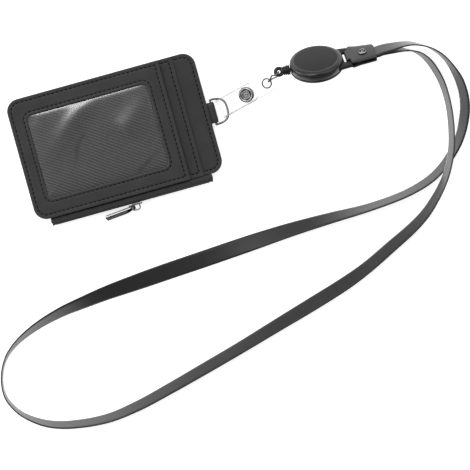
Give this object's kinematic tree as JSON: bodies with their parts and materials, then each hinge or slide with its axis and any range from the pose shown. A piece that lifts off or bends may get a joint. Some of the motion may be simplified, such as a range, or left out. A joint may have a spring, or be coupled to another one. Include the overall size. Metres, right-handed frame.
{
  "type": "retractable badge holder",
  "caption": "Zipped leather card case with a window, on a D-ring and clear snap strap, linked to a retracting cord reel on a flat woven neck lanyard.",
  "frame": {"origin": "centre of the card case's back face, which lies on the ground", "axes": "+X along the case towards its D-ring and the reel, +Y away from the zip, +Z out of the window"},
  "size_m": [0.3127, 0.1991, 0.0295],
  "materials": {
    "black_leather": "pebbled grain, satin",
    "black_cloth": "woven, matt",
    "clear_film": "clear, glossy",
    "bright_metal": "bright plated",
    "clear_vinyl": "clear, glossy",
    "black_plastic": "glossy",
    "matt_black": "matt",
    "pale_plastic": "matt",
    "black_cord": "braided, matt",
    "spring_steel": "satin"
  },
  "bodies": {
    "lanyard": {"lanyard_ribbon": "black_cloth", "leather_fob": "black_leather", "rivet_cap": "bright_metal", "rivet_post": "bright_metal"},
    "reel": {"reel_front_shell": "black_plastic", "reel_rear_shell": "black_plastic", "reel_face_disc": "matt_black", "axle_screw": "spring_steel", "spiral_spring": "spring_steel"},
    "spool": {"spool": "pale_plastic", "cord_winding": "black_cord"},
    "cord_end": {"pull_cord": "black_cord"},
    "fitting": {"end_fitting": "black_plastic"},
    "link": {"wire_link": "bright_metal"},
    "strap": {"strap_long_leaf": "clear_vinyl", "snap_stud": "bright_metal", "strap_eyelet": "bright_metal"},
    "flap": {"strap_short_leaf": "clear_vinyl", "snap_cap": "bright_metal"},
    "ring": {"d_ring": "bright_metal"},
    "case": {"rear_slot_outer": "black_leather", "rear_slot_inner": "black_leather", "rear_cover": "black_leather", "pocket_welt": "black_cloth", "front_base": "black_leather", "slot_panel": "black_leather", "window_lining": "black_cloth", "window_sheet": "clear_film", "window_panel": "black_leather", "d_ring_tab": "black_leather", "zip_tape_front": "black_cloth", "zip_tape_rear": "black_cloth", "zip_teeth_front": "bright_metal", "zip_teeth_rear": "bright_metal", "zip_stop_left": "bright_metal", "zip_stop_right": "bright_metal"},
    "slider": {"zipper_slider": "bright_metal"},
    "pull": {"zipper_pull": "bright_metal"}
  },
  "joints": [
    {"name": "fob_hinge", "type": "hinge", "parent": "lanyard", "child": "reel", "pos_m": [0.14577, 0.00779, 0.01332], "axis": [-0.0292, 0.5792, -0.8147], "range_deg": [-40, 42]},
    {"name": "cord_pull", "type": "slide", "parent": "reel", "child": "cord_end", "axis": [-0.9938, 0.0704, 0.0856], "range_m": [0, 0.55], "stiffness_N_per_m": 1.5, "springref_m": -0.6},
    {"name": "spool_spin", "type": "hinge", "parent": "reel", "child": "spool", "pos_m": [0.12619, 0.00918, 0.01501], "axis": [0.1069, 0.8121, 0.5736], "range_deg": [0, 2900], "deforming": ["spiral_spring"]},
    {"name": "fitting_swivel", "type": "hinge", "parent": "cord_end", "child": "fitting", "pos_m": [0.10361, 0.01061, 0.01684], "axis": [-0.9938, 0.0704, 0.0856], "range_deg": [-90, 90]},
    {"name": "link_swing", "type": "hinge", "parent": "fitting", "child": "link", "pos_m": [0.10178, 0.00959, 0.01699], "axis": [0.486, -0.8727, -0.047], "range_deg": [-35, 35]},
    {"name": "strap_swing", "type": "hinge", "parent": "link", "child": "strap", "pos_m": [0.09731, 0.0072, 0.01389], "axis": [-0.4312, 0.8994, -0.0717], "range_deg": [-14, 7]},
    {"name": "flap_hinge", "type": "hinge", "parent": "strap", "child": "flap", "pos_m": [0.06531, -0.00095, 0.00548], "axis": [0.2284, -0.9736, 0], "range_deg": [0, 95]},
    {"name": "ring_swing", "type": "hinge", "parent": "strap", "child": "ring", "pos_m": [0.0686, -0.0018, 0.0043], "axis": [0, 1, 0], "range_deg": [-25, 4]},
    {"name": "case_swing", "type": "hinge", "parent": "ring", "child": "case", "pos_m": [0.06, -0.0018, 0.0043], "axis": [0, 1, 0], "range_deg": [-30, 35]},
    {"name": "zip_run", "type": "slide", "parent": "case", "child": "slider", "axis": [1, 0, 0], "range_m": [-0.043, 0.041], "deforming": ["zip_tape_front", "zip_tape_rear", "zip_teeth_front", "zip_teeth_rear"]},
    {"name": "pull_swing", "type": "hinge", "parent": "slider", "child": "pull", "pos_m": [-0.00111, -0.0441, 0.0043], "axis": [0, 1, 0], "range_deg": [-60, 60]}
  ],
  "couplings": [
    {"joint": "spool_spin", "follows": "cord_pull", "rad_per_m": 90.909}
  ]
}
